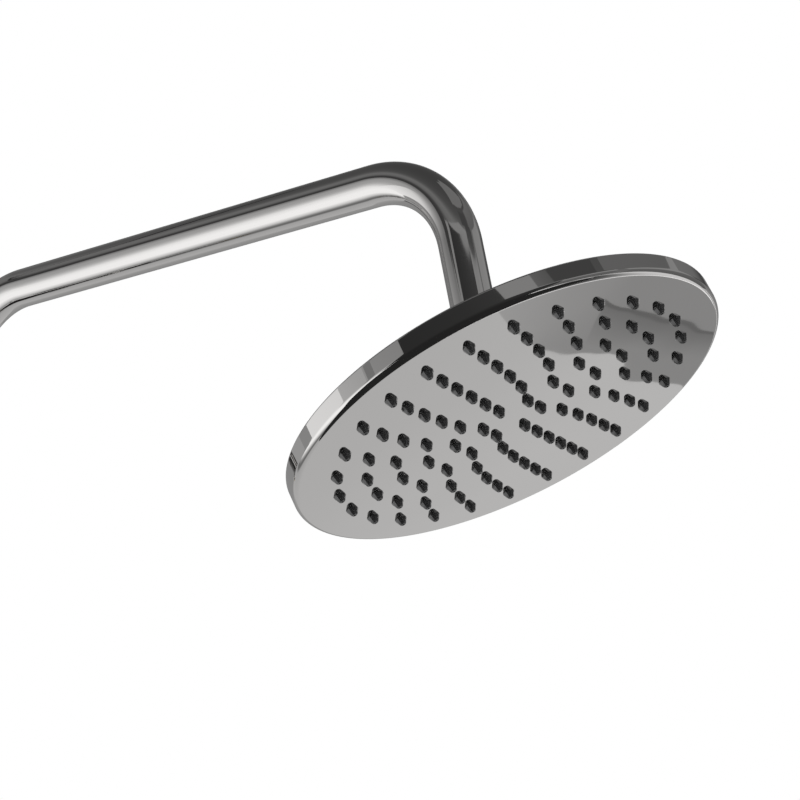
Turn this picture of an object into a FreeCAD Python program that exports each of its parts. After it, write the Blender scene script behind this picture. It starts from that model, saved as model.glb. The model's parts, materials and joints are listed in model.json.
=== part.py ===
import FreeCAD, Part
import math
import os

# Overhead shower: a wall bracket, a bent riser arm, a ball joint and a flat round rain head.
# Frame: the origin is on the wall in the middle of the bracket, +Y goes into the wall, +Z is up,
# and the arm reaches out along -Y. Lengths are in millimetres and angles in degrees.

# Riser arm, one bent tube
tube_r = 10.0
tube_wall = 1.2
bend_r = 50.0
arm_reach = 322.7
arm_rise = 150.0
riser_drop = 90.0
leg_length = 100.3
leg_lean = 11.9
plug_length = 14.0
plug_bore_r = 6.0
braze_gap = 0.05

# Plug-in end of the riser
spigot_r = 8.0
spigot_length = 24.0
spigot_shoulder = 3.0
spigot_chamfer = 1.0
spigot_bore_r = 5.0
groove_width = 2.6
groove_depth = 1.4
groove_shares = (0.36, 0.72)
ring_seal_gap = 0.1

# Wall plate and post of the bracket
riser_gap = 65.0
plate_t = 5.0
plate_margin = 5.0
screw_spacing = 28.0
screw_hole_r = 2.3
stub_r = 6.5
stub_length = 14.0
post_r = 9.0
tenon_r = 6.0
tenon_length = 7.0
grub_r = 2.0
grub_sink = 0.4
grub_place_share = 0.6
key_r = 1.0
key_depth = 1.0
fit_gap = 0.1

# Ring that holds the riser
bush_wall = 2.2
bush_slot = 2.4
ring_wall = 4.0
ring_height = 26.0
ring_round = 1.6
ring_boss = 4.0

# Cover rose that slides along the post
rose_wall = 1.5
rose_side_room = 3.0
rose_head_room = 4.0
rose_round = 3.0
rose_hub_wall = 1.4
rose_hub_length = 3.0
rose_ring_wall = 1.8
rose_gap = 0.3

# Ball joint, counted from the ball centre
ball_r = 9.0
neck_r = 4.4
water_r = 2.8
flare_r = 4.6
flare_depth = 3.0
tilt_limit = 20.0
mouth_margin = 2.5
turn_gap = 0.2
seat_t = 0.9
seat_span = 33.0
seat_margin = 2.0
carrier_wall = 1.0
carrier_floor = 1.4
carrier_drop = 3.0
carrier_hole_r = 4.0
seal_t = 1.0
boss_wall = 1.6
boss_floor = 3.8
inlet_r = 6.0
flange_t = 1.5
flange_width = 5.0
liner_wall = 2.6
liner_lift = 0.3
liner_shoulder_share = 0.55
liner_top_wall = 2.4
nut_wall = 1.9
nut_lift = 0.4

# Connector that the ball is turned on
connector_flats = 24.6
connector_corner = 1.2
connector_chamfer = 0.8
swing_gap = 0.4
connector_floor = 1.6
restrictor_r = 5.6
restrictor_t = 1.4
orifice_r = 1.5
washer_t = 1.6
washer_wall = 3.6
web_t = 0.6
web_hole_r = 1.1
web_hole_share = 0.58
web_holes = 6
thread_r = 10.4
thread_length = 5.4

# Rain head, from the face up to the back cover
head_r = 100.0
face_crown = 1.7
face_t = 1.5
lip_r = 2.5
rim_t = 1.5
crimp_t = 1.0
crimp_width = 1.4
mat_t = 1.5
mat_edge = 5.5
clamp_t = 3.25
clamp_width = 13.0
gasket_t = 1.2
gasket_width = 8.0
cover_t = 1.2
cover_rise = 4.0
cover_land = 6.0
cover_brim = 9.0
stack_gap = 0.05

# Nozzles, in rings that share one row and stop short of the mat's edge
nozzle_margin = 12.08
ring_count = 6
ring_first = 6
ring_step = 4
row_angle = 189.0
nozzle_r = 2.5
nozzle_tip_r = 1.35
nozzle_length = 3.0
nozzle_gap = 0.15

# Pose in which the head is set on its ball
head_tilt = 14.4
tilt_axis_turn = 205.6

# How far cutting shapes run past what they cut
overrun = 2.0

X_AXIS = FreeCAD.Vector(1, 0, 0)
Y_AXIS = FreeCAD.Vector(0, 1, 0)
Z_AXIS = FreeCAD.Vector(0, 0, 1)
ORIGIN = FreeCAD.Vector(0, 0, 0)
eighth_turn = math.tau / 8


def rz(point):
    return FreeCAD.Vector(point[0], 0, point[1])


def turned(start, *steps):
    """Solid turned about Z from an (r, z) outline; a pair of points is an arc through one to the other."""
    edges = []
    here = start
    for step in steps + (start,):
        if isinstance(step[0], tuple):
            through, there = step
            edges.append(Part.Arc(rz(here), rz(through), rz(there)).toShape())
        else:
            there = step
            if math.dist(here, there) > 0:
                edges.append(Part.LineSegment(rz(here), rz(there)).toShape())
        here = there
    return Part.Face(Part.Wire(edges)).revolve(ORIGIN, Z_AXIS, 360)


def on_sphere(radius, polar):
    angle = math.radians(polar)
    return (radius * math.sin(angle), radius * math.cos(angle))


def round_sphere(radius, polar_from, polar_to):
    """Arc step along a sphere about the ball centre, between two angles from the axis."""
    return (on_sphere(radius, (polar_from + polar_to) / 2), on_sphere(radius, polar_to))


def polar_at_radius(sphere, radius):
    return math.degrees(math.asin(radius / sphere))


def polar_at_height(sphere, height):
    return math.degrees(math.acos(height / sphere))


def ring(outer, inner, low, high):
    return turned((inner, low), (outer, low), (outer, high), (inner, high))


def bar(radius, start, direction, length):
    return Part.makeCylinder(radius, length, start, direction)


def around(radius, angle):
    return FreeCAD.Vector(radius * math.cos(angle), radius * math.sin(angle), 0)


def along_y(shape):
    """Lay a piece turned about Z so that its axis points out from the wall."""
    shape.rotate(ORIGIN, X_AXIS, 90)
    return shape


def save(name, shape):
    shape.exportStep(f"parts/{name}.step")


os.makedirs("parts", exist_ok=True)

# Ball joint levels: r is counted from the leg's axis, heights from the ball centre
neck_polar = polar_at_radius(ball_r, neck_r)
mouth_polar = neck_polar + tilt_limit + mouth_margin
bearing_r = ball_r + turn_gap
seat_r = bearing_r + seat_t
carrier_sphere = seat_r + turn_gap
carrier_r = carrier_sphere + carrier_wall
carrier_low = -(carrier_sphere + carrier_floor)
boss_bore_r = carrier_r + turn_gap
boss_r = boss_bore_r + boss_wall
boss_high = -carrier_drop + turn_gap
seal_high = carrier_low - turn_gap
seal_low = seal_high - seal_t
boss_low = seal_low - boss_floor
nut_bore_r = boss_r + fit_gap
nut_r = nut_bore_r + nut_wall
liner_r = bearing_r + liner_wall
liner_high = on_sphere(bearing_r, mouth_polar)[1]
liner_shoulder = liner_lift + (liner_high - liner_lift) * liner_shoulder_share

# Connector levels, upwards along the leg
connector_low = nut_r + swing_gap
restrictor_low = connector_low + connector_floor
socket_low = restrictor_low + restrictor_t
washer_high = socket_low + washer_t
connector_high = washer_high + thread_length
socket_r = thread_r + fit_gap

# Head levels, downwards from the boss
cover_low = boss_low + flange_t
cover_high = cover_low + cover_t
brim_low = cover_low - cover_rise
brim_high = brim_low + cover_t
rim_high = brim_high + stack_gap + crimp_t
gasket_low = brim_low - stack_gap - gasket_t
clamp_low = gasket_low - stack_gap - clamp_t
rim_bore_r = head_r - rim_t
stack_r = rim_bore_r - fit_gap
mat_r = stack_r - mat_edge
face_r = head_r - lip_r
mat_edge_low = clamp_low - stack_gap - mat_t
crown_r = (face_r**2 + face_crown**2) / (2 * face_crown)
crown_centre = mat_edge_low - stack_gap - face_t + math.sqrt(crown_r**2 - mat_r**2)
face_edge_low = crown_centre - math.sqrt(crown_r**2 - face_r**2)


def face_level(radius):
    """Height of the crowned outer face at a distance from the axis."""
    return crown_centre - math.sqrt(crown_r**2 - radius**2)


def crown_step(radius_from, radius_to, lift):
    """Arc step along the crowned face, or along the same sphere lifted off it."""
    middle = (radius_from + radius_to) / 2
    return ((middle, face_level(middle) + lift), (radius_to, face_level(radius_to) + lift))


# Places of the leg and the head
lean = math.radians(leg_lean)
leg_up = FreeCAD.Vector(0, math.sin(lean), math.cos(lean))
head_corner = FreeCAD.Vector(0, -(riser_gap + arm_reach), arm_rise)
ball_centre = head_corner - leg_up * leg_length
leg_turn = FreeCAD.Rotation(X_AXIS, -leg_lean)
tilt_turn = math.radians(tilt_axis_turn)
tilt_axis = FreeCAD.Vector(math.cos(tilt_turn), math.sin(tilt_turn), 0)
leg_place = FreeCAD.Placement(ball_centre, leg_turn)
head_place = FreeCAD.Placement(ball_centre, leg_turn * FreeCAD.Rotation(tilt_axis, head_tilt))


def on_leg(shape):
    shape.Placement = leg_place
    return shape


def on_head(shape):
    shape.Placement = head_place
    return shape


# Riser arm: straight runs and tangent bends in the plane X = 0, hollow from end to end
def bend(corner, way_in, way_out):
    """Start, middle and end of the arc that rounds a corner of the tube."""
    turn = way_in.getAngle(way_out)
    reach = bend_r * math.tan(turn / 2)
    inward = (way_out - way_in).normalize()
    middle = corner + inward * (bend_r / math.cos(turn / 2) - bend_r)
    return corner - way_in * reach, middle, corner + way_out * reach


riser_low = FreeCAD.Vector(0, -riser_gap, -riser_drop)
riser_corner = FreeCAD.Vector(0, -riser_gap, arm_rise)
tube_end = ball_centre + leg_up * connector_high
wall_bend = bend(riser_corner, Z_AXIS, -Y_AXIS)
head_bend = bend(head_corner, -Y_AXIS, -leg_up)
tube_line = Part.Wire([
    Part.LineSegment(riser_low, wall_bend[0]).toShape(),
    Part.Arc(*wall_bend).toShape(),
    Part.LineSegment(wall_bend[2], head_bend[0]).toShape(),
    Part.Arc(*head_bend).toShape(),
    Part.LineSegment(head_bend[2], tube_end).toShape(),
])


def swept(radius):
    section = Part.Wire(Part.makeCircle(radius, riser_low, Z_AXIS))
    return tube_line.makePipeShell([section], True, False)


tube_bore_r = tube_r - tube_wall
save("riser_arm", swept(tube_r).cut(swept(tube_bore_r)))

# Riser spigot: turned end brazed into the tube, with two sealing rings in its grooves
plug_r = tube_bore_r - braze_gap
groove_r = spigot_r - groove_depth
spigot_tip_r = spigot_r - spigot_chamfer
spigot_low = -(spigot_shoulder + spigot_length)
spigot = turned(
    (spigot_bore_r, spigot_low),
    (spigot_tip_r, spigot_low),
    (spigot_r, spigot_low + spigot_chamfer),
    (spigot_r, -spigot_shoulder),
    (tube_r, -spigot_shoulder),
    (tube_r, 0),
    (plug_r, 0),
    (plug_r, plug_length),
    (spigot_bore_r, plug_length),
)
rings = []
for share in groove_shares:
    low = spigot_low + spigot_length * share
    spigot = spigot.cut(ring(spigot_r + overrun, groove_r, low, low + groove_width))
    seal_ring = ring(spigot_r, groove_r + ring_seal_gap, ring_seal_gap, groove_width - ring_seal_gap)
    seal_ring.translate(Z_AXIS * low)
    rings.append(seal_ring)
spigot.translate(riser_low)
spigot_rings = Part.makeCompound(rings)
spigot_rings.translate(riser_low)
save("riser_spigot", spigot)
save("spigot_rings", spigot_rings)

# Wall plate: round plate with a stub for the post and two screw holes
screw_place = screw_spacing / 2
plate_r = screw_place + screw_hole_r + plate_margin
stub_end = plate_t + stub_length
plate = turned((0, 0), (plate_r, 0), (plate_r, plate_t), (stub_r, plate_t), (stub_r, stub_end), (0, stub_end))
for side in (-1, 1):
    at = FreeCAD.Vector(side * screw_place, 0, -overrun)
    plate = plate.cut(bar(screw_hole_r, at, Z_AXIS, plate_t + 2 * overrun))
save("wall_plate", along_y(plate))

# Bracket post: bar bored to slip over the stub, with a tenon for the riser ring
bush_bore_r = tube_r + fit_gap
bush_r = bush_bore_r + bush_wall
ring_bore_r = bush_r + fit_gap
ring_r = ring_bore_r + ring_wall
post_end = riser_gap - ring_r - ring_boss
post_bore_r = stub_r + fit_gap
post_bore_end = stub_end + fit_gap
post = turned(
    (post_bore_r, plate_t),
    (post_r, plate_t),
    (post_r, post_end),
    (tenon_r, post_end),
    (tenon_r, post_end + tenon_length),
    (0, post_end + tenon_length),
    (0, post_bore_end),
    (post_bore_r, post_bore_end),
)
post_grub_place = plate_t + stub_length * grub_place_share
post_grub_start = FreeCAD.Vector(0, -post_grub_place, 0)
save("bracket_post", along_y(post).cut(bar(grub_r + fit_gap, post_grub_start, -Z_AXIS, post_r + overrun)))


# Set screws: one locks the post on its stub, one locks the riser in its ring
def set_screw(length):
    """Headless screw along Z with a round socket in its upper end."""
    return turned(
        (0, 0),
        (grub_r, 0),
        (grub_r, length),
        (key_r, length),
        (key_r, length - key_depth),
        (0, length - key_depth),
    )


post_grub = set_screw(post_r - grub_sink - stub_r)
post_grub.rotate(ORIGIN, X_AXIS, 180)
post_grub.translate(post_grub_start - Z_AXIS * stub_r)
save("post_set_screw", post_grub)

riser_axis = FreeCAD.Vector(0, -riser_gap, 0)
ring_grub = set_screw(ring_r - grub_sink - tube_r)
ring_grub.rotate(ORIGIN, Y_AXIS, 90)
ring_grub.translate(riser_axis + X_AXIS * tube_r)
save("ring_set_screw", ring_grub)

# Riser ring: rounded ring with a boss on the wall side, which takes the post's tenon
half_height = ring_height / 2
riser_ring = turned(
    (ring_bore_r, -half_height),
    (ring_r - ring_round, -half_height),
    (ring_r, -half_height + ring_round),
    (ring_r, half_height - ring_round),
    (ring_r - ring_round, half_height),
    (ring_bore_r, half_height),
)
riser_bore = bar(ring_bore_r, -Z_AXIS * ring_height, Z_AXIS, 2 * ring_height)
riser_ring = riser_ring.fuse(bar(post_r, ORIGIN, Y_AXIS, ring_r + ring_boss).cut(riser_bore))
tenon_hole_start = FreeCAD.Vector(0, ring_r + ring_boss - tenon_length - fit_gap, 0)
riser_ring = riser_ring.cut(bar(tenon_r + fit_gap, tenon_hole_start, Y_AXIS, tenon_length + overrun))
riser_ring = riser_ring.cut(bar(grub_r + fit_gap, ORIGIN, X_AXIS, ring_r + overrun))
riser_ring.translate(riser_axis)
save("riser_ring", riser_ring)

# Clamp bush: split plastic sleeve between the ring and the tube
bush = ring(bush_r, bush_bore_r, -half_height, half_height)
slot_corner = FreeCAD.Vector(-bush_slot / 2, -bush_r - overrun, -ring_height)
bush = bush.cut(Part.makeBox(bush_slot, bush_wall + 2 * overrun, 2 * ring_height, slot_corner))
bush = bush.cut(bar(grub_r + fit_gap, ORIGIN, X_AXIS, bush_r + overrun))
bush.translate(riser_axis)
save("clamp_bush", bush)

# Cover rose: pressed cup over the wall plate, with a hub that holds a rubber ring on the post
rose_bore_r = post_r + rose_gap
rose_inside_r = plate_r + rose_side_room
rose_r = rose_inside_r + rose_wall
rose_inside = plate_t + rose_head_room
rose_high = rose_inside + rose_wall
rose_ring_r = post_r + fit_gap + rose_ring_wall
hub_bore_r = rose_ring_r + fit_gap
hub_r = hub_bore_r + rose_hub_wall
hub_low = rose_inside - rose_hub_length
corner_r = rose_r - rose_round
corner_z = rose_high - rose_round
corner_middle = (corner_r + rose_round * math.sin(eighth_turn), corner_z + rose_round * math.cos(eighth_turn))
rose = turned(
    (rose_bore_r, rose_high),
    (corner_r, rose_high),
    (corner_middle, (rose_r, corner_z)),
    (rose_r, 0),
    (rose_inside_r, 0),
    (rose_inside_r, corner_z),
    (corner_r, rose_inside),
    (hub_r, rose_inside),
    (hub_r, hub_low),
    (hub_bore_r, hub_low),
    (hub_bore_r, rose_inside),
    (rose_bore_r, rose_inside),
)
save("cover_rose", along_y(rose))
save("rose_ring", along_y(ring(rose_ring_r, post_r + fit_gap, hub_low, rose_inside - fit_gap)))

# Head nipple: brazed into the leg's end, threaded below it
nipple = turned(
    (plug_bore_r, washer_high),
    (thread_r, washer_high),
    (thread_r, connector_high),
    (plug_r, connector_high),
    (plug_r, connector_high + plug_length),
    (plug_bore_r, connector_high + plug_length),
)
save("head_nipple", on_leg(nipple))

# Swivel ball: hexagonal connector, neck and ball in one turned piece with a waterway through it
corner_radius = connector_flats / 2 + connector_corner
flare_polar = 180 - polar_at_radius(ball_r, flare_r)
ball = turned(
    on_sphere(ball_r, flare_polar),
    round_sphere(ball_r, flare_polar, neck_polar),
    (neck_r, connector_low),
    (corner_radius - connector_chamfer, connector_low),
    (corner_radius, connector_low + connector_chamfer),
    (corner_radius, connector_high - connector_chamfer),
    (corner_radius - connector_chamfer, connector_high),
    (socket_r, connector_high),
    (socket_r, socket_low),
    (restrictor_r + fit_gap, socket_low),
    (restrictor_r + fit_gap, restrictor_low),
    (water_r, restrictor_low),
    (water_r, on_sphere(ball_r, flare_polar)[1] + flare_depth),
)
flats_radius = connector_flats / 2 / math.cos(math.pi / 6)
hexagon = [around(flats_radius, math.pi * k / 3) - Z_AXIS * ball_r for k in range(7)]
flats = Part.Face(Part.makePolygon(hexagon)).extrude(Z_AXIS * (ball_r + connector_high))
save("swivel_ball", on_leg(ball.common(flats)))

# Flow restrictor disc and strainer washer inside the connector
save("flow_restrictor", on_leg(ring(restrictor_r, orifice_r, restrictor_low, socket_low)))
washer_r = socket_r - fit_gap
washer_bore_r = washer_r - washer_wall
web_low = socket_low + (washer_t - web_t) / 2
washer = ring(washer_r, washer_bore_r, socket_low, washer_high)
web = bar(washer_bore_r, Z_AXIS * web_low, Z_AXIS, web_t)
web_circle_r = washer_bore_r * web_hole_share
web_places = [ORIGIN] + [around(web_circle_r, math.tau * k / web_holes) for k in range(web_holes)]
for place in web_places:
    web = web.cut(bar(web_hole_r, place + Z_AXIS * (web_low - overrun), Z_AXIS, web_t + 2 * overrun))
save("strainer_washer", on_leg(washer.fuse(web).removeSplitter()))

# Ball seat: thin spherical ring under the ball, free to turn about the leg
seat_from = 90 + tilt_limit + seat_margin
seat_to = seat_from + seat_span
seat = turned(
    on_sphere(bearing_r, seat_from),
    on_sphere(seat_r, seat_from),
    round_sphere(seat_r, seat_from, seat_to),
    on_sphere(bearing_r, seat_to),
    round_sphere(bearing_r, seat_to, seat_from),
)
save("ball_seat", on_leg(seat))

# Seat carrier: cup that the seat ring tilts in
carrier_from = polar_at_height(carrier_sphere, -carrier_drop)
carrier_to = 180 - polar_at_radius(carrier_sphere, carrier_hole_r)
carrier = turned(
    (carrier_r, -carrier_drop),
    on_sphere(carrier_sphere, carrier_from),
    round_sphere(carrier_sphere, carrier_from, carrier_to),
    (carrier_hole_r, carrier_low),
    (carrier_r, carrier_low),
)
save("seat_carrier", on_head(carrier))
save("boss_seal", on_head(ring(boss_bore_r - fit_gap, inlet_r, seal_low, seal_high)))

# Inlet boss: threaded inlet with a flange soldered under the back cover
flange_r = boss_r + flange_width
boss = turned(
    (inlet_r, boss_low),
    (flange_r, boss_low),
    (flange_r, cover_low),
    (boss_r, cover_low),
    (boss_r, boss_high),
    (boss_bore_r, boss_high),
    (boss_bore_r, seal_low),
    (inlet_r, seal_low),
)
save("inlet_boss", on_head(boss))

# Ball liner: plastic ring that holds the ball down in the nut
liner_from = polar_at_height(bearing_r, liner_lift)
liner_top_r = on_sphere(bearing_r, mouth_polar)[0] + liner_top_wall
liner = turned(
    (liner_r, liner_lift),
    (liner_r, liner_shoulder),
    (liner_top_r, liner_high),
    on_sphere(bearing_r, mouth_polar),
    round_sphere(bearing_r, mouth_polar, liner_from),
)
save("ball_liner", on_head(liner))

# Union nut: domed nut screwed down on the boss, with a conical mouth for the neck
nut_lip = liner_high + fit_gap
nut_low = cover_high + nut_lift
pocket_r = liner_r + fit_gap
nut = turned(
    (nut_lip * math.tan(math.radians(mouth_polar)), nut_lip),
    on_sphere(nut_r, mouth_polar),
    round_sphere(nut_r, mouth_polar, 90),
    (nut_r, nut_low),
    (nut_bore_r, nut_low),
    (nut_bore_r, boss_high + turn_gap),
    (pocket_r, boss_high + turn_gap),
    (pocket_r, liner_shoulder),
    (liner_top_r + fit_gap, nut_lip),
)
save("union_nut", on_head(nut))

# Back cover: shallow pressed dome, flat round the boss and at the brim
land_r = flange_r + cover_land
dome_foot_r = stack_r - cover_brim
dome_middle_r = (land_r + dome_foot_r) / 2
dome_depth = (dome_foot_r**2 - land_r**2 - cover_rise**2) / (2 * cover_rise)
dome_middle = math.sqrt(dome_depth**2 + dome_foot_r**2 - dome_middle_r**2) - dome_depth
cover = turned(
    (boss_r + fit_gap, cover_low),
    (land_r, cover_low),
    ((dome_middle_r, brim_low + dome_middle), (dome_foot_r, brim_low)),
    (stack_r, brim_low),
    (stack_r, brim_high),
    (dome_foot_r, brim_high),
    ((dome_middle_r, brim_high + dome_middle), (land_r, cover_high)),
    (boss_r + fit_gap, cover_high),
)
save("back_cover", on_head(cover))

# Sealing stack at the rim: flat gasket over the ring that clamps the nozzle mat
save("rim_gasket", on_head(ring(stack_r, stack_r - gasket_width, gasket_low, gasket_low + gasket_t)))
save("mat_clamp_ring", on_head(ring(stack_r, stack_r - clamp_width, clamp_low, clamp_low + clamp_t)))


# Nozzle places: each ring has its own count, and every ring has one nozzle on the shared row
ring_pitch = (mat_r - nozzle_margin) / ring_count


def nozzle_places():
    places = []
    for number in range(1, ring_count + 1):
        count = ring_first + ring_step * (number - 1)
        radius = ring_pitch * number
        for k in range(count):
            angle = math.radians(row_angle) + math.tau * k / count
            places.append(around(radius, angle) + Z_AXIS * face_level(radius))
    return places


# Nozzle mat: silicone sheet on the inside of the face, with tapered tips through the holes
mat_lift = face_t + stack_gap
mat = turned(
    (0, face_level(0) + mat_lift),
    crown_step(0, mat_r, mat_lift),
    (mat_r, face_level(mat_r) + mat_lift + mat_t),
    crown_step(mat_r, 0, mat_lift + mat_t),
)
nozzle_top = mat_lift + mat_t / 2
nozzle = turned(
    (0, -nozzle_length),
    (nozzle_tip_r, -nozzle_length),
    (nozzle_r, 0),
    (nozzle_r, nozzle_top),
    (0, nozzle_top),
)
nozzles = []
for place in nozzle_places():
    one = nozzle.copy()
    one.translate(place)
    nozzles.append(one)
save("nozzle_mat", on_head(mat.multiFuse(nozzles)))

# Face shell: crowned face, rounded lip, straight rim and a crimped edge over the back cover
lip_z = face_edge_low + lip_r
lip_middle = (face_r + lip_r * math.sin(eighth_turn), lip_z - lip_r * math.cos(eighth_turn))
crimp_low = brim_high + stack_gap
shell = turned(
    (0, face_level(0)),
    crown_step(0, face_r, 0),
    (lip_middle, (head_r, lip_z)),
    (head_r, rim_high),
    (rim_bore_r - crimp_width, rim_high),
    (rim_bore_r - crimp_width, crimp_low),
    (rim_bore_r, crimp_low),
    (rim_bore_r, lip_z),
    (face_r, face_edge_low + face_t),
    crown_step(face_r, 0, face_t),
)
hole_r = nozzle_r + nozzle_gap
holes = [bar(hole_r, place - Z_AXIS * overrun, Z_AXIS, face_t + 2 * overrun) for place in nozzle_places()]
save("face_shell", on_head(shell.cut(Part.makeCompound(holes))))
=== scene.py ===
import json
import math

import bmesh
import bpy
from mathutils import Matrix, Vector


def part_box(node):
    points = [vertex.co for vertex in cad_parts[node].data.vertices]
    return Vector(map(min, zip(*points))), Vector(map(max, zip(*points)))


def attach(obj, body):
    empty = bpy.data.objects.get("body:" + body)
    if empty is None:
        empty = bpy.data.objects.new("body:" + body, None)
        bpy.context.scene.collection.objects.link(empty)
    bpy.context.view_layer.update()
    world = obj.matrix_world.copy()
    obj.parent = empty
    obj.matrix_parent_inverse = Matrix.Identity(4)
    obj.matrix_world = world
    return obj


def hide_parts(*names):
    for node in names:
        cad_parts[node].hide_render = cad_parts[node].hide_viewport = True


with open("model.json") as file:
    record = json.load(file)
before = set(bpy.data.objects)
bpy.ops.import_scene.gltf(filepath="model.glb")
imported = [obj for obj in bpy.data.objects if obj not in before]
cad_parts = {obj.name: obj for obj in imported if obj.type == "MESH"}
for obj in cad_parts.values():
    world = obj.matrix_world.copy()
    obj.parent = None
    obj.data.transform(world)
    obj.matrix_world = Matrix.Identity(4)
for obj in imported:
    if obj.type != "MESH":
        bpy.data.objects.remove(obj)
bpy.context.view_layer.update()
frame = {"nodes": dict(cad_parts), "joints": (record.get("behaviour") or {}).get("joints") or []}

nodes = frame["nodes"]
joints = {joint["name"]: joint for joint in frame["joints"]}


# Wall plate: a zinc casting that two screws hold against the wall.
# It is blasted matt grey, because the rose hides it, and its stub carries the post.
class Wire:
    """A shader socket that can be used in sums; node() adds any other node to the same tree."""

    def __init__(self, tree, socket=None):
        self.tree = tree
        self.socket = socket

    def node(self, kind, settings=None, inputs=None, output=0):
        """Add a node, set or link its inputs, and hold one of its outputs."""
        made = self.tree.nodes.new(kind)
        for name, value in (settings or {}).items():
            if name == "stops":
                set_stops(made.color_ramp, value)
            else:
                setattr(made, name, value)
        for name, value in (inputs or {}).items():
            if isinstance(value, Wire):
                self.tree.links.new(value.socket, made.inputs[name])
            else:
                made.inputs[name].default_value = value
        return Wire(self.tree, made.outputs[output] if len(made.outputs) else None)

    def maths(self, operation, first, second):
        return self.node("ShaderNodeMath", {"operation": operation}, {0: first, 1: second})

    def __add__(self, other):
        return self.maths("ADD", self, other)

    def __radd__(self, other):
        return self.maths("ADD", other, self)

    def __sub__(self, other):
        return self.maths("SUBTRACT", self, other)

    def __mul__(self, other):
        return self.maths("MULTIPLY", self, other)

    def __rmul__(self, other):
        return self.maths("MULTIPLY", other, self)

    def where(self):
        return self.node("ShaderNodeTexCoord", output="Object")

    def noise(self, scale, detail=2.0, stretch=(1.0, 1.0, 1.0)):
        place = self.node("ShaderNodeMapping", inputs={"Vector": self.where(), "Scale": stretch})
        inputs = {"Vector": place, "Scale": scale, "Detail": detail}
        return self.node("ShaderNodeTexNoise", inputs=inputs)

    def blend(self, share, first, second):
        """Mix two colours: sockets 6 and 7 of the Mix node are its colours, output 2 the result."""
        colours = {0: share, 6: (*first, 1.0), 7: (*second, 1.0)}
        return self.node("ShaderNodeMix", {"data_type": "RGBA"}, colours, output=2)

    def bump(self, height, strength, distance):
        inputs = {"Height": height, "Strength": strength, "Distance": distance}
        return self.node("ShaderNodeBump", inputs=inputs)


def set_stops(ramp, stops):
    while len(ramp.elements) < len(stops):
        ramp.elements.new(1.0)
    for element, (place, colour) in zip(ramp.elements, stops):
        element.position = place
        element.color = (*colour, 1.0)


def blank(name):
    """A new material with an empty tree, and the wire that fills it."""
    material = bpy.data.materials.new(name)
    material.use_nodes = True
    material.node_tree.nodes.clear()
    return material, Wire(material.node_tree)


def surface(wire, **inputs):
    """Principled shader with the given sockets, as the material's surface."""
    named = {name.replace("_", " "): value for name, value in inputs.items()}
    shader = wire.node("ShaderNodeBsdfPrincipled", inputs=named)
    wire.node("ShaderNodeOutputMaterial", inputs={"Surface": shader})


def dress(material, *names):
    """Give CAD nodes their finish."""
    for name in names:
        data = nodes[name].data
        data.materials.clear()
        data.materials.append(material)


def cast_zinc():
    material, wire = blank("cast_zinc")
    grain = wire.noise(900.0, detail=4.0)
    clouds = wire.noise(40.0)
    surface(
        wire,
        Base_Color=wire.blend(clouds, (0.30, 0.31, 0.32), (0.42, 0.43, 0.44)),
        Metallic=0.6,
        Roughness=0.45 + 0.2 * grain,
        Normal=wire.bump(grain, strength=0.35, distance=0.0002),
    )
    return material


dress(cast_zinc(), "wall_plate")


# Set screws: headless stainless screws with a round key socket.
# One locks the post on the plate's stub, the other the riser in its ring.
def screw_steel():
    material, wire = blank("screw_steel")
    turning = wire.noise(300.0, stretch=(1.0, 1.0, 8.0))
    surface(
        wire,
        Base_Color=wire.blend(turning, (0.46, 0.46, 0.47), (0.60, 0.60, 0.61)),
        Metallic=1.0,
        Roughness=0.25 + 0.15 * turning,
    )
    return material


dress(screw_steel(), "post_set_screw", "ring_set_screw")


# Post, riser ring and cover rose of the bracket: turned and pressed brass under bright chrome.
# The rose slides along the post to uncover the screws, and a rubber ring keeps it in place.
def plate_tints(reflectance):
    """Dull and bright colour of chrome plate, which is a faintly warm grey."""
    green_share, blue_share, dull_share = 0.985, 0.972, 0.95
    bright = (reflectance, green_share * reflectance, blue_share * reflectance)
    return tuple(dull_share * part for part in bright), bright


def chrome(name, reflectance, haze):
    """Bright chrome plate: a mirror with clouds of polish haze."""
    material, wire = blank(name)
    clouds = wire.noise(14.0)
    surface(
        wire,
        Base_Color=wire.blend(clouds, *plate_tints(reflectance)),
        Metallic=1.0,
        Roughness=haze + 0.5 * haze * clouds,
    )
    return material


bracket_chrome = chrome("bracket_chrome", reflectance=0.74, haze=0.05)
dress(bracket_chrome, "bracket_post", "riser_ring", "cover_rose")


# Clamp bush, ball liner, seat and restrictor: white acetal mouldings hidden in ring and joint.
# The seat carrier and the ring that clamps the nozzle mat are moulded in grey.
def moulded(name, dark, light):
    material, wire = blank(name)
    mottle = wire.noise(120.0, detail=3.0)
    surface(
        wire,
        Base_Color=wire.blend(mottle, dark, light),
        Roughness=0.38 + 0.12 * mottle,
        Normal=wire.bump(mottle, strength=0.1, distance=0.0002),
    )
    return material


white_plastic = moulded("white_plastic", (0.70, 0.70, 0.67), (0.80, 0.80, 0.78))
grey_plastic = moulded("grey_plastic", (0.26, 0.27, 0.28), (0.35, 0.36, 0.37))
dress(white_plastic, "clamp_bush", "flow_restrictor", "ball_liner", "ball_seat")
dress(grey_plastic, "seat_carrier", "mat_clamp_ring")


# Seals: black moulded rubber rings and washers, slightly dusty from the mould.
# They sit in the spigot's grooves, the rose's hub, the connector, the boss and the rim.
def seal_rubber():
    material, wire = blank("seal_rubber")
    dust = wire.noise(260.0, detail=3.0)
    surface(
        wire,
        Base_Color=wire.blend(dust, (0.018, 0.018, 0.018), (0.05, 0.05, 0.05)),
        Roughness=0.5 + 0.2 * dust,
    )
    return material


dress(seal_rubber(), "spigot_rings", "rose_ring", "strainer_washer", "boss_seal", "rim_gasket")


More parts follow.
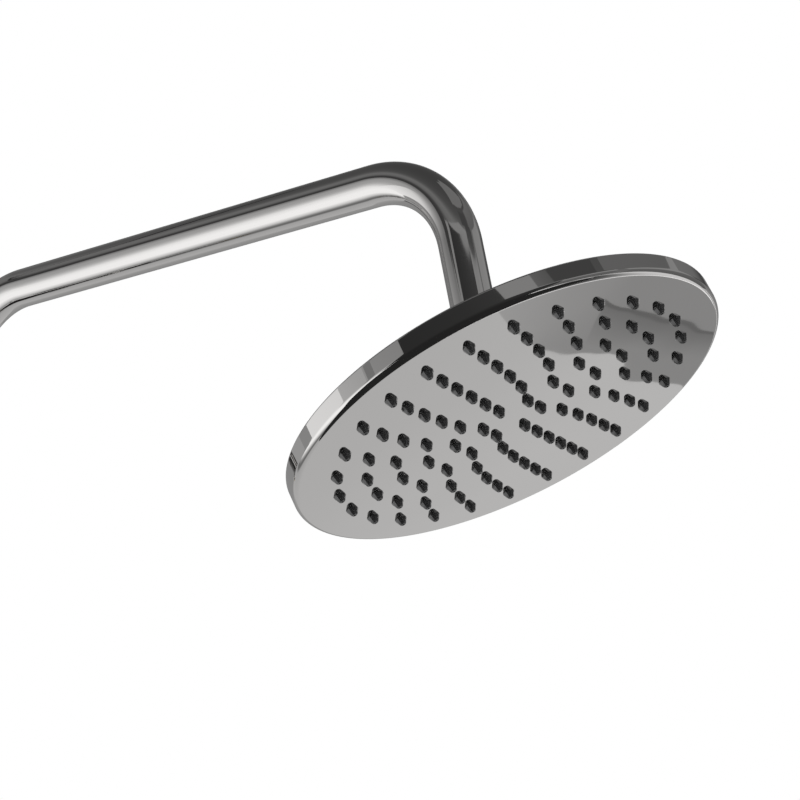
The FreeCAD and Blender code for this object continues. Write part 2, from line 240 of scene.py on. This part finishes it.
# Riser spigot, head nipple and inlet boss: turned from brass bar and left bare.
# The first two are brazed into the ends of the tube, the boss is soldered to the back cover.
def turned_brass():
    material, wire = blank("turned_brass")
    stains = wire.noise(60.0, detail=3.0)
    surface(
        wire,
        Base_Color=wire.blend(stains, (0.50, 0.36, 0.15), (0.72, 0.55, 0.27)),
        Metallic=1.0,
        Roughness=0.2 + 0.15 * stains,
    )
    return material


dress(turned_brass(), "riser_spigot", "head_nipple", "inlet_boss")


# Riser arm: one drawn brass tube, bent twice round the same former and plated bright.
# It rises from the bracket, runs out level and turns down into the leaning leg.
# The skin gap keeps its finer mesh just inside the solid.
bend_radius = 0.050
tube_wall = 0.0012
skin_gap = 0.00002
tube_sides = 96
bend_steps = 40
tube_weld = 1e-6
arm_low, arm_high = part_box("riser_arm")
tube_radius = arm_high.x
ball = Vector(joints["head_swivel"]["pos_m"])
leg_up = Vector(joints["head_swivel"]["axis"]).normalized()
riser_foot = Vector((0.0, arm_high.y - tube_radius, arm_low.z))
arm_level = arm_high.z - tube_radius
riser_corner = Vector((0.0, riser_foot.y, arm_level))
leg_corner = ball + leg_up * ((arm_level - ball.z) / leg_up.z)
leg_end_height = arm_high.z
for vertex in nodes["riser_arm"].data.vertices:
    offset = nodes["riser_arm"].matrix_world @ vertex.co - ball
    height = offset.dot(leg_up)
    if (offset - leg_up * height).length < 2 * tube_radius:
        leg_end_height = min(leg_end_height, height)
leg_end = ball + leg_up * leg_end_height


def add_object(shape, name, material):
    """Turn a finished mesh into an object of the scene."""
    data = bpy.data.meshes.new(name)
    shape.to_mesh(data)
    shape.free()
    data.materials.append(material)
    made = bpy.data.objects.new(name, data)
    bpy.context.scene.collection.objects.link(made)
    return made


def as_piece(shape, name, body, material):
    """Finish a mesh as a smooth piece with crisp edges that rides on a body."""
    sharp_angle = math.radians(32)
    for face in shape.faces:
        face.smooth = True
    for edge in shape.edges:
        edge.smooth = not (edge.is_manifold and edge.calc_face_angle() > sharp_angle)
    piece = add_object(shape, name, material)
    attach(piece, body)
    return piece


def only(geometry, kind):
    return [part for part in geometry if isinstance(part, kind)]


def run_to(tube, rim, shift):
    """Draw the open end of the tube along a straight run, and give its new end."""
    drawn = bmesh.ops.extrude_edge_only(tube, edges=rim)["geom"]
    bmesh.ops.translate(tube, vec=shift, verts=only(drawn, bmesh.types.BMVert))
    return only(drawn, bmesh.types.BMEdge)


def bend_round(tube, rim, corner, way_in, way_out):
    """Bend the open end of the tube from one direction to the other, and give its new end."""
    turn = way_in.angle(way_out)
    centre = corner - way_in * (bend_radius * math.tan(turn / 2))
    centre += (way_out - way_in * way_in.dot(way_out)).normalized() * bend_radius
    axis = way_in.cross(way_out).normalized()
    bent = bmesh.ops.spin(tube, geom=rim, cent=centre, axis=axis, angle=turn, steps=bend_steps)
    return only(bent["geom_last"], bmesh.types.BMEdge)


up, out, down = Vector((0.0, 0.0, 1.0)), Vector((0.0, -1.0, 0.0)), -leg_up
first_reach = bend_radius * math.tan(up.angle(out) / 2)
second_reach = bend_radius * math.tan(out.angle(down) / 2)
tube = bmesh.new()
at_foot = Matrix.Translation(riser_foot)
bmesh.ops.create_circle(tube, segments=tube_sides, radius=tube_radius - skin_gap, matrix=at_foot)
tip = list(tube.edges)
tip = run_to(tube, tip, riser_corner - up * first_reach - riser_foot)
tip = bend_round(tube, tip, riser_corner, up, out)
tip = run_to(tube, tip, leg_corner - riser_corner - out * (first_reach + second_reach))
tip = bend_round(tube, tip, leg_corner, out, down)
run_to(tube, tip, leg_end - leg_corner - down * second_reach)
bmesh.ops.remove_doubles(tube, verts=tube.verts, dist=tube_weld)
bmesh.ops.recalc_face_normals(tube, faces=tube.faces)
bmesh.ops.solidify(tube, geom=tube.faces, thickness=tube_wall)
arm_chrome = chrome("arm_chrome", reflectance=0.76, haze=0.045)
riser_arm = as_piece(tube, "riser_arm_tube", "arm", arm_chrome)
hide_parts("riser_arm")


# Swivel ball and union nut: turned brass, chromed, with six flats on the connector for a spanner.
# The nut screws down on the boss and holds the ball in its liner, so the head can tilt and turn.
dress(chrome("fitting_chrome", reflectance=0.72, haze=0.06), "swivel_ball", "union_nut")


# Face shell: brass sheet pressed into a slightly crowned face with a rounded lip and straight rim.
# Its upper edge is crimped over the back cover, and the whole cup is polished and plated.
head_radius = 0.100 - skin_gap
face_crown = 0.0017
lip_radius = 0.0025
face_drop = 0.026693
rim_height = 0.009743
sheet = 0.0015
crimp_width = 0.0029
crimp_lip = 0.001
rim_edge = 0.0006
edge_hold = 0.0002
turn_steps = 720
crown_steps = 24
lip_steps = 16
edge_steps = 4
head_up = Vector(joints["head_spin"]["axis"]).normalized()
tilt_axis = Vector(joints["head_tilt"]["axis"]).normalized()
head_frame = Matrix((tilt_axis, head_up.cross(tilt_axis), head_up)).transposed().to_4x4()
head_frame = Matrix.Translation(ball) @ head_frame
face_edge = head_radius - lip_radius
crown_radius = (face_edge**2 + face_crown**2) / (2 * face_crown)


def face_level(radius):
    """Level of the crowned face against the ball's centre, at a distance from the head's axis."""
    sink = crown_radius - math.sqrt(crown_radius**2 - radius**2)
    return -face_drop - face_crown + sink


def quarter_round(centre, radius, start, steps):
    """Quarter of a circle in an outline of (radius, height) points, turning up from an angle."""
    swings = [start + math.pi / 2 * k / steps for k in range(steps + 1)]
    out_from, up_from = centre
    return [(out_from + radius * math.cos(s), up_from + radius * math.sin(s)) for s in swings]


def spun(outline, steps=turn_steps, closed=True):
    """Mesh turned about the head's axis from an outline of (radius, height) points."""
    weld, sliver = 1e-7, 1e-8
    turned = bmesh.new()
    corners = [turned.verts.new((radius, 0.0, height)) for radius, height in outline]
    ends = corners[1:] + corners[:1] if closed else corners[1:]
    edges = [turned.edges.new(pair) for pair in zip(corners, ends)]
    bmesh.ops.spin(
        turned,
        geom=corners + edges,
        cent=(0, 0, 0),
        axis=(0, 0, 1),
        angle=math.tau,
        steps=steps,
        use_merge=True,
    )
    bmesh.ops.remove_doubles(turned, verts=turned.verts, dist=weld)
    bmesh.ops.dissolve_degenerate(turned, edges=turned.edges, dist=sliver)
    bmesh.ops.recalc_face_normals(turned, faces=turned.faces)
    return turned


def pressed_chrome(name, reflectance, haze, ripple):
    """Chrome on pressed sheet: a mirror that is a little uneven, so that reflected edges waver."""
    material, wire = blank(name)
    clouds = wire.noise(9.0)
    swell = wire.noise(16.0, detail=1.0)
    surface(
        wire,
        Base_Color=wire.blend(clouds, *plate_tints(reflectance)),
        Metallic=1.0,
        Roughness=haze + 0.5 * haze * clouds,
        Normal=wire.bump(swell, strength=1.0, distance=ripple),
    )
    return material


rim_top = -face_drop + rim_height
lip_centre = -face_drop + lip_radius
crown_places = [face_edge * k / crown_steps for k in range(crown_steps)] + [face_edge - edge_hold]
outline = [(radius, face_level(radius)) for radius in crown_places]
outline += quarter_round((face_edge, lip_centre), lip_radius, -math.pi / 2, lip_steps)
outline += [(head_radius, lip_centre + edge_hold), (head_radius, rim_top - rim_edge - edge_hold)]
outline += quarter_round((head_radius - rim_edge, rim_top - rim_edge), rim_edge, 0.0, edge_steps)
outline += [
    (head_radius - rim_edge - edge_hold, rim_top),
    (head_radius - crimp_width, rim_top),
    (head_radius - crimp_width, rim_top - crimp_lip),
    (head_radius - sheet, rim_top - crimp_lip),
    (head_radius - sheet, lip_centre),
    (face_edge, -face_drop + sheet),
    (face_edge / 2, face_level(face_edge / 2) + sheet),
    (0.0, face_level(0.0) + sheet),
]
cup = spun(outline)
bmesh.ops.transform(cup, matrix=head_frame, verts=cup.verts)
head_chrome = pressed_chrome("head_chrome", reflectance=0.76, haze=0.02, ripple=0.0006)
face_shell = as_piece(cup, "face_shell_cup", "head", head_chrome)
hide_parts("face_shell")


# Back cover: a shallow dome pressed from sheet, flat at the boss and at its brim.
# The crimped rim holds it down on a flat gasket.
cover_chrome = pressed_chrome("cover_chrome", reflectance=0.74, haze=0.05, ripple=0.0004)
dress(cover_chrome, "back_cover")


# Nozzle mat: one silicone moulding behind the face, with a tapered tip through every hole.
# The tips stand out to be rubbed clean; each has eight flats and a fine bore.
ring_pitch = 0.01347
row_bearing = 189.0
tilt_bearing = 205.6
row_angle = math.radians(row_bearing - tilt_bearing)
tip_counts = (6, 10, 14, 18, 22, 26)
foot_radius = 0.0029
foot_depth = 0.0016
tip_radius = 0.0015
tip_length = 0.003
tip_round = 0.0004
tip_flats = 8
bore_radius = 0.00062
bore_depth = 0.0016
mat_radius = 0.0929
mat_thickness = 0.0015
mat_gap = 0.00005


def nozzle_silicone():
    material, wire = blank("nozzle_silicone")
    bloom = wire.noise(420.0, detail=3.0)
    surface(
        wire,
        Base_Color=wire.blend(bloom, (0.022, 0.022, 0.022), (0.034, 0.034, 0.035)),
        Roughness=0.14 + 0.08 * bloom,
        Specular_IOR_Level=0.8,
        Coat_Weight=0.25,
        Coat_Roughness=0.1,
    )
    return material


tip_outline = [
    (foot_radius, foot_depth),
    (foot_radius, 0.0),
    (tip_radius, -tip_length + tip_round),
    (tip_radius - tip_round, -tip_length),
    (bore_radius, -tip_length),
    (bore_radius, -tip_length + bore_depth),
    (0.0, -tip_length + bore_depth),
]
one_tip = spun(tip_outline, tip_flats, closed=False)
half_flat = Matrix.Rotation(math.pi / tip_flats, 3, "Z")
bmesh.ops.rotate(one_tip, cent=(0, 0, 0), matrix=half_flat, verts=one_tip.verts)
tip_mesh = bpy.data.meshes.new("nozzle_tip")
one_tip.to_mesh(tip_mesh)
one_tip.free()
mat_low = sheet + mat_gap
mat_high = mat_low + mat_thickness
mat = spun([
    (0.0, face_level(0.0) + mat_low),
    (mat_radius, face_level(mat_radius) + mat_low),
    (mat_radius, face_level(mat_radius) + mat_high),
    (0.0, face_level(0.0) + mat_high),
])
for ring, count in enumerate(tip_counts, start=1):
    radius = ring_pitch * ring
    for k in range(count):
        angle = row_angle + math.tau * k / count
        place = Vector((radius * math.cos(angle), radius * math.sin(angle), face_level(radius)))
        tip_mesh.transform(Matrix.Translation(place))
        mat.from_mesh(tip_mesh)
        tip_mesh.transform(Matrix.Translation(-place))
bpy.data.meshes.remove(tip_mesh)
bmesh.ops.transform(mat, matrix=head_frame, verts=mat.verts)
nozzle_mat = as_piece(mat, "nozzle_mat_tips", "head", nozzle_silicone())
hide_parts("nozzle_mat")


# Studio floor: a plain pale sheet well below the shower.
# It is matt, and takes the soft shadow.
floor_level = -0.80
floor_size = 8.0
floor_finish, wire = blank("studio_floor")
floor_tone = wire.blend(wire.noise(1.5), (0.76, 0.76, 0.76), (0.80, 0.80, 0.80))
surface(wire, Base_Color=floor_tone, Roughness=0.9)
ground = bmesh.new()
bmesh.ops.create_grid(ground, x_segments=1, y_segments=1, size=floor_size)
bmesh.ops.translate(ground, vec=(0.0, 0.0, floor_level), verts=ground.verts)
floor = add_object(ground, "studio_floor", floor_finish)


# Studio flats: glowing cards round the shower, which only its mirror surfaces show.
# Their greys paint the chrome's light and dark bands of reflection, and they cast no light or
# shadow.
# A nearer or higher card hides part of the one behind or below it.
studio_centre = Vector((0.0, -0.38, 0.10))
wall_distance = 3.0
front_distance = 2.95
black_distance = 2.9
upper_distance = 2.0
flat_steps = 24


def plain(grey):
    """Stops of a card that has one grey all over."""
    return [(0.0, grey), (1.0, grey)]


def card_finish(name, stops, low, high, axis="Z"):
    """Glowing greys of a card from one edge to the other, along one axis: a painted reflection for
    the mirrors.
    """
    finish, fill = blank(name)
    along = fill.node("ShaderNodeSeparateXYZ", inputs={0: fill.where()}, output=axis)
    share = (along - low) * (1.0 / (high - low))
    greys = [(place, (grey, grey, grey)) for place, grey in stops]
    fade = fill.node("ShaderNodeValToRGB", {"stops": greys}, {"Fac": share})
    glow = fill.node("ShaderNodeEmission", inputs={"Color": fade, "Strength": 1.0})
    fill.node("ShaderNodeOutputMaterial", inputs={"Surface": glow})
    return finish


def set_up(shape, name, finish):
    """Stand a card in the studio, where only mirrors show it."""
    card = add_object(shape, name, finish)
    card.visible_camera = False
    card.visible_diffuse = False
    card.visible_shadow = False
    card.visible_transmission = False


def flat(name, bearings, elevations, stops, distance=wall_distance, climb=0.0):
    """Upright curved card between two bearings and two elevations, seen from the shower.

    It can climb from the first bearing to the second.
    """
    start, end = (math.radians(angle) for angle in bearings)
    rises = (distance * math.tan(math.radians(angle)) for angle in elevations)
    low, high = (rise + studio_centre.z for rise in rises)
    foot = studio_centre.xy + distance * Vector((math.cos(start), math.sin(start)))
    curved = bmesh.new()
    corners = [curved.verts.new((*foot, level)) for level in (low, high)]
    edge = curved.edges.new(corners)
    bmesh.ops.spin(
        curved,
        geom=corners + [edge],
        cent=studio_centre,
        axis=(0, 0, 1),
        dvec=(0, 0, climb / flat_steps),
        angle=end - start,
        steps=flat_steps,
    )
    set_up(curved, name, card_finish(name, stops, low, high + climb))


def sheet_card(name, corners, level, stops):
    """Flat card with the given corners in plan and greys from left to right."""
    lying = bmesh.new()
    lying.faces.new([lying.verts.new((x, y, level)) for x, y in corners])
    left, right = min(x for x, y in corners), max(x for x, y in corners)
    set_up(lying, name, card_finish(name, stops, left, right, "X"))


back_greys = [(0.0, 0.32), (0.6, 0.28), (1.0, 0.16)]
back_left_greys = [(0.0, 0.40), (0.5, 0.37), (1.0, 0.16)]
corner_greys = [(0.0, 0.34), (0.5, 0.28), (1.0, 0.16)]
flat("flat_right_back", (-15, 30), (-6, 24), [(0.0, 0.30), (1.0, 0.17)])
flat("flat_back", (30, 77), (-14, 19), back_greys)
flat("flat_back_left", (77, 95), (-14, 19), back_left_greys)
flat("flat_back_gap", (77, 80.5), (-14, 12), plain(0.035), front_distance)
flat("flat_corner", (95, 104), (-14, 19), corner_greys)

left_greys = [(0.0, 1.05), (0.38, 0.88), (0.55, 0.80), (0.75, 0.45), (1.0, 0.18)]
left_mid_greys = [
    (0.0, 1.03), (0.16, 0.80), (0.35, 0.56), (0.54, 0.44), (0.75, 0.40), (0.88, 0.29), (1.0, 0.18),
]
left_front_greys = [(0.0, 1.03), (0.3, 0.60), (0.6, 0.30), (1.0, 0.25)]
flat("flat_left", (104, 131), (-16, 19), left_greys)
flat("flat_left_mid", (131, 147), (-16, 20), left_mid_greys)
flat("flat_left_front", (147, 166), (-16, 21), left_front_greys)
flat("flat_left_edge", (148, 152), (-4, 20), plain(0.21), front_distance)

black_greys = [(0.0, 0.012), (0.8, 0.035), (1.0, 0.05)]
drop_greys = [(0.0, 0.07), (1.0, 0.062)]
flat("flat_black", (166, 249), (-32, 29.5), black_greys, black_distance, climb=0.666)
flat("flat_arch", (156, 218), (12, 26), plain(0.26), front_distance, climb=1.312)
flat("flat_arch_right", (218, 267), (30, 43), plain(0.26), front_distance, climb=-0.362)
flat("flat_black_high", (237, 272), (44, 55), plain(0.062), upper_distance)
flat("flat_black_drop", (250, 282), (38.7, 44), drop_greys, upper_distance)

right_greys = [(0.0, 0.12), (0.58, 0.15), (0.7, 0.30), (1.0, 0.26)]
right_gap_greys = [(0.0, 0.18), (1.0, 0.15)]
right_top_greys = [(0.0, 0.13), (1.0, 0.16)]
flat("flat_right", (249, 345), (-10, 41), right_greys)
flat("flat_right_gap", (283, 290), (-10, 41), right_gap_greys, front_distance)
flat("flat_right_top", (278, 350), (41, 57), right_top_greys, upper_distance)

reach = 4.0
square = [(-reach, -reach), (reach, -reach), (reach, reach), (-reach, reach)]
square_greys = [
    (0.0, 0.80), (0.225, 1.00), (0.35, 1.15), (0.431, 1.15), (0.466, 0.72), (0.485, 0.33),
    (0.498, 0.17), (0.510, 0.19), (0.522, 0.46), (0.562, 0.50), (0.625, 0.53), (0.66, 0.54),
    (0.70, 0.565), (0.74, 0.585), (1.0, 0.585),
]
sheet_card("floor_card", square, floor_level + 0.010, square_greys)
far_right = [(0.8, 0.7), (reach, 0.7), (reach, reach), (0.8, reach)]
far_greys = [(0.0, 0.46), (0.15, 0.36), (1.0, 0.30)]
sheet_card("floor_far", far_right, floor_level + 0.015, far_greys)
near_black = [
    (-3.0, -0.30), (-1.6, 0.15), (-0.9, 0.12), (-0.5, -0.05), (0.95, -0.14), (0.95, -0.60),
    (0.62, -0.66), (0.62, -2.9), (0.2, -3.2), (-1.03, -3.20), (-2.05, -2.57), (-2.72, -1.65),
]
sheet_card("floor_near", near_black, floor_level + 0.015, plain(0.02))
shade = [
    (1.22, -0.60), (1.32, -0.25), (1.45, -0.21), (1.58, -0.18), (1.71, -0.17), (1.89, -0.14),
    (2.13, -0.08), (2.49, 0.0), (2.74, 0.07), (reach, 0.40), (reach, -reach), (1.22, -reach),
]
shade_greys = [(0.0, 0.42), (0.047, 0.40), (0.10, 0.345), (0.17, 0.30), (1.0, 0.285)]
sheet_card("floor_shade", shade, floor_level + 0.020, shade_greys)
right_near = [
    (0.62, -0.64), (2.0, -0.72), (3.2, -0.68), (reach, -1.5), (reach, -reach), (0.62, -reach),
]
right_near_greys = [
    (0.0, 0.06), (0.053, 0.12), (0.098, 0.22), (0.172, 0.48),
    (0.246, 0.66), (0.349, 0.74), (1.0, 0.72),
]
sheet_card("floor_right_near", right_near, floor_level + 0.025, right_near_greys)
bright = [
    (0.85, -0.58), (2.0, -0.68), (3.2, -0.64), (3.2, -0.38), (2.1, -0.43), (1.5, -0.45),
    (1.1, -0.41), (0.85, -0.35),
]
sheet_card("floor_bright", bright, floor_level + 0.030, plain(1.15))

# A narrow bent card glows dark, and paints a streak of shade into the reflection in the right of
# the face.
# It rises from its near edge, so that its greys, which go by height, follow the bend.
dark_streak = [
    (1.60, -0.298), (1.70, -0.277), (1.82, -0.258), (1.95, -0.245),
    (2.07, -0.234), (2.2, -0.22), (2.36, -0.195), (3.0, -0.09),
]
dark_streak_width = 0.10
dark_streak_low, dark_streak_high = floor_level + 0.028, floor_level + 0.038
dark_streak_greys = [(0.0, 0.15), (0.08, 0.15), (0.13, 0.20), (1.0, 0.295)]
fold = bmesh.new()
near_side = [fold.verts.new((x, y, dark_streak_low)) for x, y in dark_streak]
far_places = [(x + dark_streak_width / 2, y + dark_streak_width) for x, y in dark_streak]
far_side = [fold.verts.new((x, y, dark_streak_high)) for x, y in far_places]
for corners in zip(near_side, near_side[1:], far_side[1:], far_side):
    fold.faces.new(corners)
set_up(fold, "floor_streak", card_finish("floor_streak", dark_streak_greys, dark_streak_low, dark_streak_high))

boom_level = 1.70
boom = [
    (0.10, 0.86), (-0.11, 0.99), (-0.58, 1.27), (-0.92, 1.70), (-1.74, 2.20),
    (-1.70, 2.12), (-0.88, 1.62), (-0.56, 1.20), (-0.11, 0.93), (0.10, 0.80),
]
sheet_card("boom", boom, boom_level, plain(0.004))
panel_level = 2.60
panel = [
    (-1.06, -1.44), (-0.51, -1.79), (0.18, -1.87), (0.86, -1.61), (1.30, -1.13),
    (0.26, -0.53), (0.04, -0.68), (-0.21, -0.59),
]
sheet_card("ceiling_panel", panel, panel_level, plain(0.18))

# The dome overhead glows in dark greys, a painted reflection of a dim ceiling for the chrome.
ceiling_distance = 6.0
ceiling_low = math.radians(8.0)
ceiling_steps = 16
ceiling_sides = 48
ceiling_greys = [
    (0.0, 0.02), (0.29, 0.05), (0.35, 0.06), (0.44, 0.155), (0.56, 0.18), (0.66, 0.11),
    (0.72, 0.085), (0.85, 0.07), (1.0, 0.06),
]
dome = bmesh.new()
arc = []
for k in range(ceiling_steps + 1):
    rise = ceiling_low + (math.pi / 2 - ceiling_low) * k / ceiling_steps
    away, above = ceiling_distance * math.cos(rise), ceiling_distance * math.sin(rise)
    arc.append(dome.verts.new((away, 0.0, above)))
edges = [dome.edges.new(pair) for pair in zip(arc, arc[1:])]
bmesh.ops.spin(
    dome,
    geom=arc + edges,
    cent=(0, 0, 0),
    axis=(0, 0, 1),
    angle=math.tau,
    steps=ceiling_sides,
    use_merge=True,
)
bmesh.ops.translate(dome, vec=studio_centre, verts=dome.verts)
dome_low = studio_centre.z + ceiling_distance * math.sin(ceiling_low)
dome_high = studio_centre.z + ceiling_distance
set_up(dome, "ceiling", card_finish("ceiling", ceiling_greys, dome_low, dome_high))


# Studio light: a soft box above on the camera's side, a weaker one opposite, and a white world.
# Neither box shows in the chrome, which mirrors the flats instead.
def soft_box(name, place, power, size):
    lamp = bpy.data.lights.new(name, "AREA")
    lamp.energy = power
    lamp.size = size
    box = bpy.data.objects.new(name, lamp)
    box.location = place
    box.rotation_mode = "QUATERNION"
    box.rotation_quaternion = (studio_centre - Vector(place)).to_track_quat("-Z", "Y")
    box.visible_glossy = False
    bpy.context.scene.collection.objects.link(box)


soft_box("key_box", (-1.6, -1.8, 1.2), power=30.0, size=1.2)
soft_box("fill_box", (1.8, -1.0, 1.0), power=12.0, size=1.2)
ambient = 0.75
world = bpy.data.worlds.new("studio_world")
world.use_nodes = True
world.node_tree.nodes.clear()
sky = Wire(world.node_tree)
path = "ShaderNodeLightPath"
seen = sky.node(path, output="Is Camera Ray") + sky.node(path, output="Is Glossy Ray")
seen = seen + sky.node(path, output="Is Transmission Ray")
white = {"Color": (1, 1, 1, 1), "Strength": ambient + (1 - ambient) * seen}
background = sky.node("ShaderNodeBackground", inputs=white)
sky.node("ShaderNodeOutputWorld", inputs={"Surface": background})
bpy.context.scene.world = world
bpy.context.scene.view_settings.view_transform = "Standard"


# Camera: below and to the left of the arm, looking up at the face, with a long lens.
# The image is square, so the sensor's width is also its height.
# The shift is about half a pixel, which the photo's framing needs.
image_pixels = 800
shift_pixels = 0.6
camera_place = Vector((-0.73084, -0.91646, -0.22761))
camera_look = Vector((0.76427, 0.57909, 0.28381))
camera_data = bpy.data.cameras.new("camera")
camera_data.sensor_width = 36.0
camera_data.lens = 96.787
camera_data.shift_x = -shift_pixels / image_pixels
camera_data.shift_y = shift_pixels / image_pixels
camera = bpy.data.objects.new("camera", camera_data)
camera.location = camera_place
camera.rotation_mode = "QUATERNION"
camera.rotation_quaternion = camera_look.to_track_quat("-Z", "Y")
bpy.context.scene.collection.objects.link(camera)
bpy.context.scene.camera = camera
